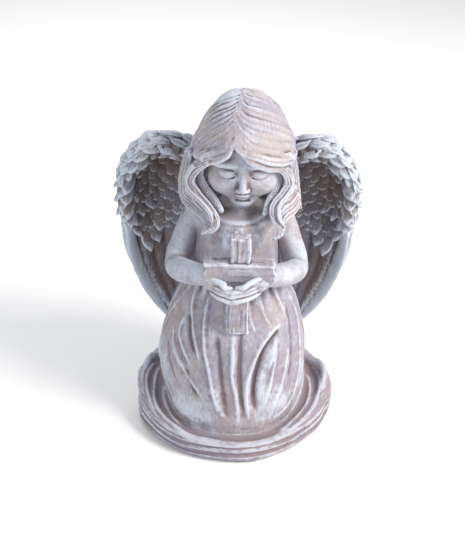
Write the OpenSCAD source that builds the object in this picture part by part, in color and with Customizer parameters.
// Kneeling angel figurine, slush cast in filled resin and put together from separate castings.
// The figure faces -Y, its left hand is on +X, and the origin is under the middle of the base.

/* [Figure] */
// Overall height, from the felt to the crown of the head
figure_h = 255; // [235:1:275]
// Width across both wings
wing_span = 182; // [170:1:192]
// Thickness of a wing shell at its root
wing_t = 8; // [6:0.5:10]

/* [Base] */
// Width of the base
base_w = 152; // [148:1:164]
// Depth of the base, front to back
base_d = 160; // [152:1:168]
// Height of the base rim above the table
base_h = 17; // [14:0.5:20]
// How far the cloth roll at the sides stands above the rim
roll_h = 15; // [8:1:20]

/* [Gown] */
// Number of pleats round the skirt
pleats = 15; // [9:2:21]
// Depth of a pleat at the hem
pleat_depth = 2.2; // [0:0.2:3]
// Wall of the hollow gown casting at the hem
wall = 12; // [10:1:16]

/* [Cross] */
// Length of the upright
cross_h = 84; // [74:1:88]
// Length of the cross bar
cross_w = 47; // [40:1:52]
// Width of each timber
timber_w = 13; // [10:0.5:15]
// Thickness of each timber
timber_t = 8; // [6:0.5:9]

/* [Hardware] */
// Thickness of the felt under the base
felt_t = 1.5; // [1:0.25:2]
// Diameter of the pour hole in the base
pour_d = 24; // [18:1:24]
// Diameter of the steel dowels in wings and arms
dowel_d = 4; // [3:0.5:5]
// Diameter of the steel dowel in the neck
neck_dowel_d = 6; // [4:0.5:7]

/* [Hidden] */

gap = 0.3;            // glue line between two castings
hole_gap = 0.25;      // radial room round a dowel
sides = 60;           // points round a lofted section
limb_sides = 10;      // points round a limb or a lock of hair

// Heights and places as shares of the figure's height
neck_z = 0.698 * figure_h;
head_c = [0, -0.055, 0.853] * figure_h;
head_r = 0.147 * figure_h;
cross_c = [0.010, -0.218, 0.592] * figure_h;
cross_lean = 10;      // degrees that the cross leans back against the chest
wing_mid = [0.200, 0.560] * figure_h;
wing_y = 0.185 * figure_h;
wing_dowel_at = [[0.034, 0.535], [0.034, 0.605]] * figure_h;
arm_dowel_z = 0.640 * figure_h;
dowel_l = 0.080 * figure_h;
cavity_top = 0.40 * figure_h;

resin = "#a39aa0";
resin_light = "#c3c2c8";
resin_dark = "#6f6c73";
steel = "#9a9da1";
rubber = "#2c2c2e";
felt = "#3f4a44";

// ---------- shared shapes ----------

// A point of an oval whose front and back depths differ; a flat power squares it a little.
function oval(rx, front, back, a, power = 0.87) =
    [sign(cos(a)) * rx * pow(abs(cos(a)), power),
     sin(a) < 0 ? -front * pow(-sin(a), power) : back * pow(sin(a), power)];

// A closed solid through rings of equal length, with flat ends.
module loft(rings) {
    n = len(rings[0]);
    last = len(rings) - 1;
    points = [for (ring = rings) for (p = ring) p];
    polyhedron(points = points, faces = concat(
        [for (k = [0 : last - 1]) for (i = [0 : n - 1])
            each [[k * n + i, (k + 1) * n + i, k * n + (i + 1) % n],
                  [k * n + (i + 1) % n, (k + 1) * n + i, (k + 1) * n + (i + 1) % n]]],
        [for (i = [1 : n - 2]) [0, i, i + 1]],
        [for (i = [1 : n - 2]) [last * n, last * n + i + 1, last * n + i]]));
}

// A point on a Catmull-Rom curve through the given points; u counts the points.
function curve_point(points, u, closed = true) =
    let (n = len(points), k = closed ? floor(u) : min(floor(u), n - 2), f = u - k,
         at = function (i) points[closed ? (i + n) % n : max(0, min(n - 1, i))],
         p0 = at(k - 1), p1 = at(k), p2 = at(k + 1), p3 = at(k + 2))
    0.5 * (2 * p1 + (p2 - p0) * f + (2 * p0 - 5 * p1 + 4 * p2 - p3) * f * f
           + (3 * p1 - p0 - 3 * p2 + p3) * f * f * f);

function xyz(v) = [v[0], v[1], v[2]];

// A ring of a limb at u along its stations; dome is 0 on the limb and up to 90 over a round end.
function limb_ring(stations, u, dome, ref) =
    let (c = curve_point(stations, u, false),
         ahead = xyz(curve_point(stations, min(len(stations) - 1, u + 0.05), false)
                     - curve_point(stations, max(0, u - 0.05), false)),
         t = ahead / norm(ahead), side = cross(t, ref) / norm(cross(t, ref)), up = cross(t, side),
         r = c[3] * cos(dome), centre = xyz(c) + t * c[3] * sin(dome))
    [for (i = [0 : limb_sides - 1])
        let (a = 360 * i / limb_sides) centre + r * (cos(a) * side + sin(a) * up)];

// A round limb, finger or lock of hair through stations [x, y, z, radius]; ref is never along it.
module limb(stations, ref = [0, 1, 0.2], steps = 3) {
    last = len(stations) - 1;
    loft(concat([for (dome = [-80, -50, -25]) limb_ring(stations, 0, dome, ref)],
                [for (k = [0 : last * steps]) limb_ring(stations, k / steps, 0, ref)],
                [for (dome = [25, 50, 80]) limb_ring(stations, last, dome, ref)]));
}

// ---------- base ----------

// The outline of the base, drawn in by inset, with a slow wave where the cloth folds.
function base_point(a, inset) =
    let (wave = 1 + 0.012 * cos(5 * a + 40))
    oval((base_w / 2 - inset) * wave, (base_d / 2 - inset) * wave, (base_d / 2 - inset) * wave, a, 0.96);

function base_ring(inset, z, lift = 0) =
    [for (i = [0 : sides - 1]) let (a = 360 * i / sides, p = base_point(a, inset))
        [p[0], p[1], z + lift * roll(a)]];

// The cloth roll is high at the sides and the back, and dies out in front.
function roll(a) = pow((1 + sin(a - 8 * sign(cos(a)))) / 2, 0.6) * (0.75 + 0.25 * abs(cos(a)));

module base_felt() {
    color(felt) linear_extrude(felt_t) polygon([for (i = [0 : sides - 1]) base_point(360 * i / sides, 5)]);
}

module base_casting() {
    color(resin) difference() {
        loft([
            base_ring(3, felt_t),
            base_ring(0, felt_t + 3),
            base_ring(0, base_h - 4, roll_h * 0.6),
            base_ring(3, base_h - 0.5, roll_h),
            base_ring(8, base_h + 0.5, roll_h),
            base_ring(12, base_h, roll_h * 0.5),
            base_ring(17, base_h)]);
        cylinder(d = pour_d, h = base_h * 2, $fn = 96);
    }
}

// A moulded bung that closes the pour hole.
module pour_hole_plug() {
    color(rubber) translate([0, 0, felt_t])
        rotate_extrude($fn = 64)
            polygon([[0, 0], [pour_d / 2 - gap, 0], [pour_d / 2 - gap - 1, base_h - felt_t - 3],
                     [pour_d / 2 - gap - 2.5, base_h - felt_t - 1], [0, base_h - felt_t - 1]]);
}

// ---------- gown ----------

// Sections of the gown: height, half width, depth in front, depth behind, share of the pleats.
gown_sections = [
    [0.000, 0.196, 0.232, 0.200, 1.0],
    [0.045, 0.206, 0.256, 0.218, 1.0],
    [0.110, 0.210, 0.256, 0.216, 0.9],
    [0.170, 0.206, 0.244, 0.194, 0.8],
    [0.230, 0.195, 0.232, 0.164, 0.7],
    [0.290, 0.181, 0.216, 0.136, 0.6],
    [0.345, 0.164, 0.196, 0.114, 0.5],
    [0.390, 0.146, 0.172, 0.100, 0.4],
    [0.425, 0.130, 0.150, 0.090, 0.2],
    [0.470, 0.124, 0.140, 0.089, 0],
    [0.530, 0.122, 0.134, 0.090, 0],
    [0.575, 0.118, 0.122, 0.090, 0],
    [0.605, 0.102, 0.104, 0.084, 0],
    [0.622, 0.070, 0.080, 0.060, 0],
    [0.631, 0.047, 0.067, 0.034, 0]];

function gown_ring(section, grow) =
    [for (i = [0 : sides - 1])
        let (a = 360 * i / sides,
             k = 1 + pleat_depth * section[4] * cos(pleats * a) / (section[1] * figure_h),
             half = [section[1], section[2], section[3]] * figure_h + [grow, grow, grow],
             p = oval(half[0], half[1], half[2], a))
        [p[0] * k, p[1] * k, base_h + section[0] * figure_h + grow]];

// The outside of the gown, grown by the glue line where it is cut out of a neighbour.
module gown_outside(grow = gap) {
    loft([for (i = [0 : len(gown_sections) - 1]) gown_ring(gown_sections[i], grow)]);
}

// One ring of the hollow inside, which narrows towards its closed top.
function cavity_ring(share) =
    let (z = base_h + share * (cavity_top - base_h), f = 1 - 0.42 * share - 0.3 * pow(share, 6))
    let (half = f * ([0.208, 0.240, 0.215] * figure_h - [wall, wall, wall]))
    [for (i = [0 : sides - 1]) let (p = oval(half[0], half[1], half[2], 360 * i / sides)) [p[0], p[1], z]];

module gown_casting() {
    color(resin) difference() {
        loft(concat([for (share = [1, 0.93, 0.8, 0.6, 0.4, 0.2, 0]) cavity_ring(share)],
                    [for (section = gown_sections) gown_ring(section, 0)]));
        neck_dowel_bore();
        wing_dowel_bores();
        arm_dowel_bores();
    }
}

// ---------- head ----------

// A front lock on the +X side, from the temple to the breast, as [x, y, z, radius] shares.
front_lock = [[0.112, -0.070, 0.850, 0.030], [0.132, -0.100, 0.800, 0.034], [0.112, -0.128, 0.755, 0.030],
              [0.118, -0.145, 0.715, 0.027], [0.096, -0.162, 0.680, 0.020], [0.106, -0.172, 0.662, 0.010]];
// The fall of hair behind, down to the shoulder blades.
back_lock = [[0.070, 0.010, 0.860, 0.050], [0.080, 0.028, 0.790, 0.048], [0.066, 0.050, 0.720, 0.040],
             [0.044, 0.066, 0.685, 0.024], [0.036, 0.070, 0.676, 0.014]];

module head_casting() {
    color(resin_light) difference() {
        union() {
            hull() {
                translate(head_c + [0, 0.012, 0] * figure_h) sphere(r = head_r, $fn = 32);
                translate(head_c + [0, -0.020, 0.002] * figure_h) sphere(r = head_r * 0.93, $fn = 32);
                translate(head_c + [0, -0.098, -0.098] * figure_h) sphere(r = head_r * 0.25, $fn = 16);
            }
            hull() {
                translate([0, -0.035 * figure_h, neck_z - 0.052 * figure_h + gap])
                    cylinder(r = 0.042 * figure_h, h = 1, $fn = 32);
                translate(head_c + [0, 0.01, -0.06] * figure_h) sphere(r = 0.055 * figure_h, $fn = 16);
            }
            for (side = [0, 1]) mirror([side, 0, 0]) {
                limb(front_lock * figure_h);
                limb(back_lock * figure_h);
            }
        }
        gown_outside();
        neck_dowel_bore();
        for (side = [0, 1]) mirror([side, 0, 0]) limb(arm_stations(gap), steps = 2);
    }
}

// ---------- arms and cross ----------

// The arm on the +X side as [x, y, z, radius] shares, from the shoulder to the palm.
arm_shares = [[0.130, 0.006, 0.652, 0.038], [0.146, 0.004, 0.603, 0.038], [0.161, -0.010, 0.555, 0.036],
              [0.169, -0.038, 0.518, 0.034], [0.162, -0.080, 0.503, 0.033], [0.138, -0.134, 0.520, 0.033],
              [0.104, -0.192, 0.543, 0.029], [0.068, -0.236, 0.552, 0.027]];

function arm_stations(grow = 0) = [for (s = arm_shares) s * figure_h + [0, 0, 0, grow]];

// Four curled fingers, from the palm to a tip that stops short of the middle.
module fingers() {
    for (f = [0 : 3]) {
        root = [0.062, -0.255, 0.566 - 0.0115 * f, 0.0105];
        knuckle = root + [-0.034, -0.014, -0.004, -0.0008];
        tip = root + [-0.050, -0.010, -0.009, -0.002];
        limb([root, knuckle, tip] * figure_h, ref = [0, 0.2, 1], steps = 2);
    }
}

// An arm casting, from the sleeve seam to the finger tips; side is 0 for +X and 1 for -X.
module arm_casting(side) {
    difference() {
        mirror([side, 0, 0]) union() {
            limb(arm_stations(), steps = 2);
            fingers();
        }
        gown_outside();
        arm_dowel_bores();
        cross_timbers(gap);
    }
}

module left_arm() {
    color(resin_light) arm_casting(0);
}

module right_arm() {
    color(resin_light) arm_casting(1);
}

module cross_timbers(grow) {
    translate(cross_c) rotate([-cross_lean, 0, 0]) {
        translate([-timber_w / 2 - grow, -timber_t / 2 - grow, -cross_h * 0.67 - grow])
            cube([timber_w + 2 * grow, timber_t + 2 * grow, cross_h + 2 * grow]);
        translate([-cross_w / 2 - grow, -timber_t / 2 - 1 - grow, -timber_w / 2 - grow])
            cube([cross_w + 2 * grow, timber_t + 1 + 2 * grow, timber_w + 2 * grow]);
    }
}

module cross() {
    color(resin) cross_timbers(0);
}

// ---------- wings ----------

// The outline of the wing on the +X side, as [x, z] shares, anticlockwise from the tip at the bottom.
wing_outline = [[0.212, 0.195], [0.290, 0.310], [0.345, 0.430], [0.357, 0.600],
                [0.325, 0.745], [0.225, 0.832], [0.118, 0.795], [0.055, 0.640], [0.095, 0.400]];

// How far the shell stands forward of its middle: its top curls over most, and its tip least.
function wing_cup(at) =
    let (up = (at[1] - wing_mid[1]) / figure_h, out = (at[0] - wing_mid[0]) / figure_h)
    figure_h * (0.075 * pow(max(0, up) / 0.25, 2) + 0.055 * pow(max(0, out) / 0.16, 2)
                - 0.020 * pow(max(0, -up) / 0.39, 2));

// A point of the wing: u goes round its outline, share from its middle to its edge, t through its thickness.
function wing_point(u, share, t) =
    let (edge = curve_point(wing_outline, u) * figure_h,
         at = wing_mid + (edge - wing_mid) * share,
         thick = wing_t * (1 - 0.45 * pow(share, 4)))
    [at[0] * wing_span / (0.714 * figure_h), wing_y - wing_cup(at) + (t - 0.5) * thick, at[1]];

wing_sides = 36;
wing_shares = [0.06, 0.3, 0.5, 0.68, 0.82, 0.93, 1];

function wing_ring(share, t) =
    [for (i = [0 : wing_sides - 1]) wing_point(i * len(wing_outline) / wing_sides, share, t)];

// Long flight feathers that lie behind the lower half of the shell and fan down to the tip.
module flight_feathers() {
    for (f = [0 : 4]) {
        stations = [wing_point(2.2 - 0.25 * f, 0.50, 0.9), wing_point(1.5 - 0.25 * f, 0.82, 0.9),
                    wing_point(0.8 - 0.2 * f + (f > 3 ? 9 : 0), 0.97, 0.8)];
        limb([for (k = [0 : 2]) concat(stations[k], [0.017, 0.018, 0.009][k] * figure_h)], steps = 2);
    }
}

// The wing casting on the +X side with its root pad, cut to lie against the back of the gown.
module wing_casting() {
    difference() {
        union() {
            loft(concat([for (share = wing_shares) wing_ring(share, 1)],
                        [for (k = [len(wing_shares) - 1 : -1 : 0]) wing_ring(wing_shares[k], 0)]));
            flight_feathers();
            hull() {
                for (z = [0.525, 0.615])
                    translate([0.036, 0.080, z] * figure_h) sphere(r = 0.030 * figure_h, $fn = 24);
                for (z = [0.545, 0.640])
                    translate([0.095, 0.180, z] * figure_h) sphere(r = 0.020 * figure_h, $fn = 24);
            }
        }
        gown_outside();
        wing_dowel_bores();
    }
}

module left_wing() {
    color(resin_dark) wing_casting();
}

module right_wing() {
    color(resin_dark) mirror([1, 0, 0]) wing_casting();
}

// ---------- dowels and their bores ----------

module neck_rod(r, l) {
    translate([0, -0.030 * figure_h, neck_z - 0.052 * figure_h - l / 2]) cylinder(r = r, h = l, $fn = 32);
}

module wing_rods(r, l) {
    for (side = [0, 1]) mirror([side, 0, 0]) for (at = wing_dowel_at)
        translate([at[0], 0.088 * figure_h + l / 2, at[1]])
            rotate([90, 0, 0]) cylinder(r = r, h = l, $fn = 32);
}

module arm_rods(r, l) {
    for (side = [0, 1]) mirror([side, 0, 0])
        translate([0.112 * figure_h - l / 2, -0.004 * figure_h, arm_dowel_z])
            rotate([0, 90, 0]) cylinder(r = r, h = l, $fn = 32);
}

module neck_dowel_bore() {
    neck_rod(neck_dowel_d / 2 + hole_gap, dowel_l * 1.6 + 1);
}

module wing_dowel_bores() {
    wing_rods(dowel_d / 2 + hole_gap, dowel_l + 1);
}

module arm_dowel_bores() {
    arm_rods(dowel_d / 2 + hole_gap, dowel_l + 1);
}

module neck_dowel() {
    color(steel) neck_rod(neck_dowel_d / 2, dowel_l * 1.6);
}

module wing_dowels() {
    color(steel) wing_rods(dowel_d / 2, dowel_l);
}

module arm_dowels() {
    color(steel) arm_rods(dowel_d / 2, dowel_l);
}

base_felt();
base_casting();
pour_hole_plug();
gown_casting();
head_casting();
left_arm();
right_arm();
cross();
left_wing();
right_wing();
neck_dowel();
wing_dowels();
arm_dowels();
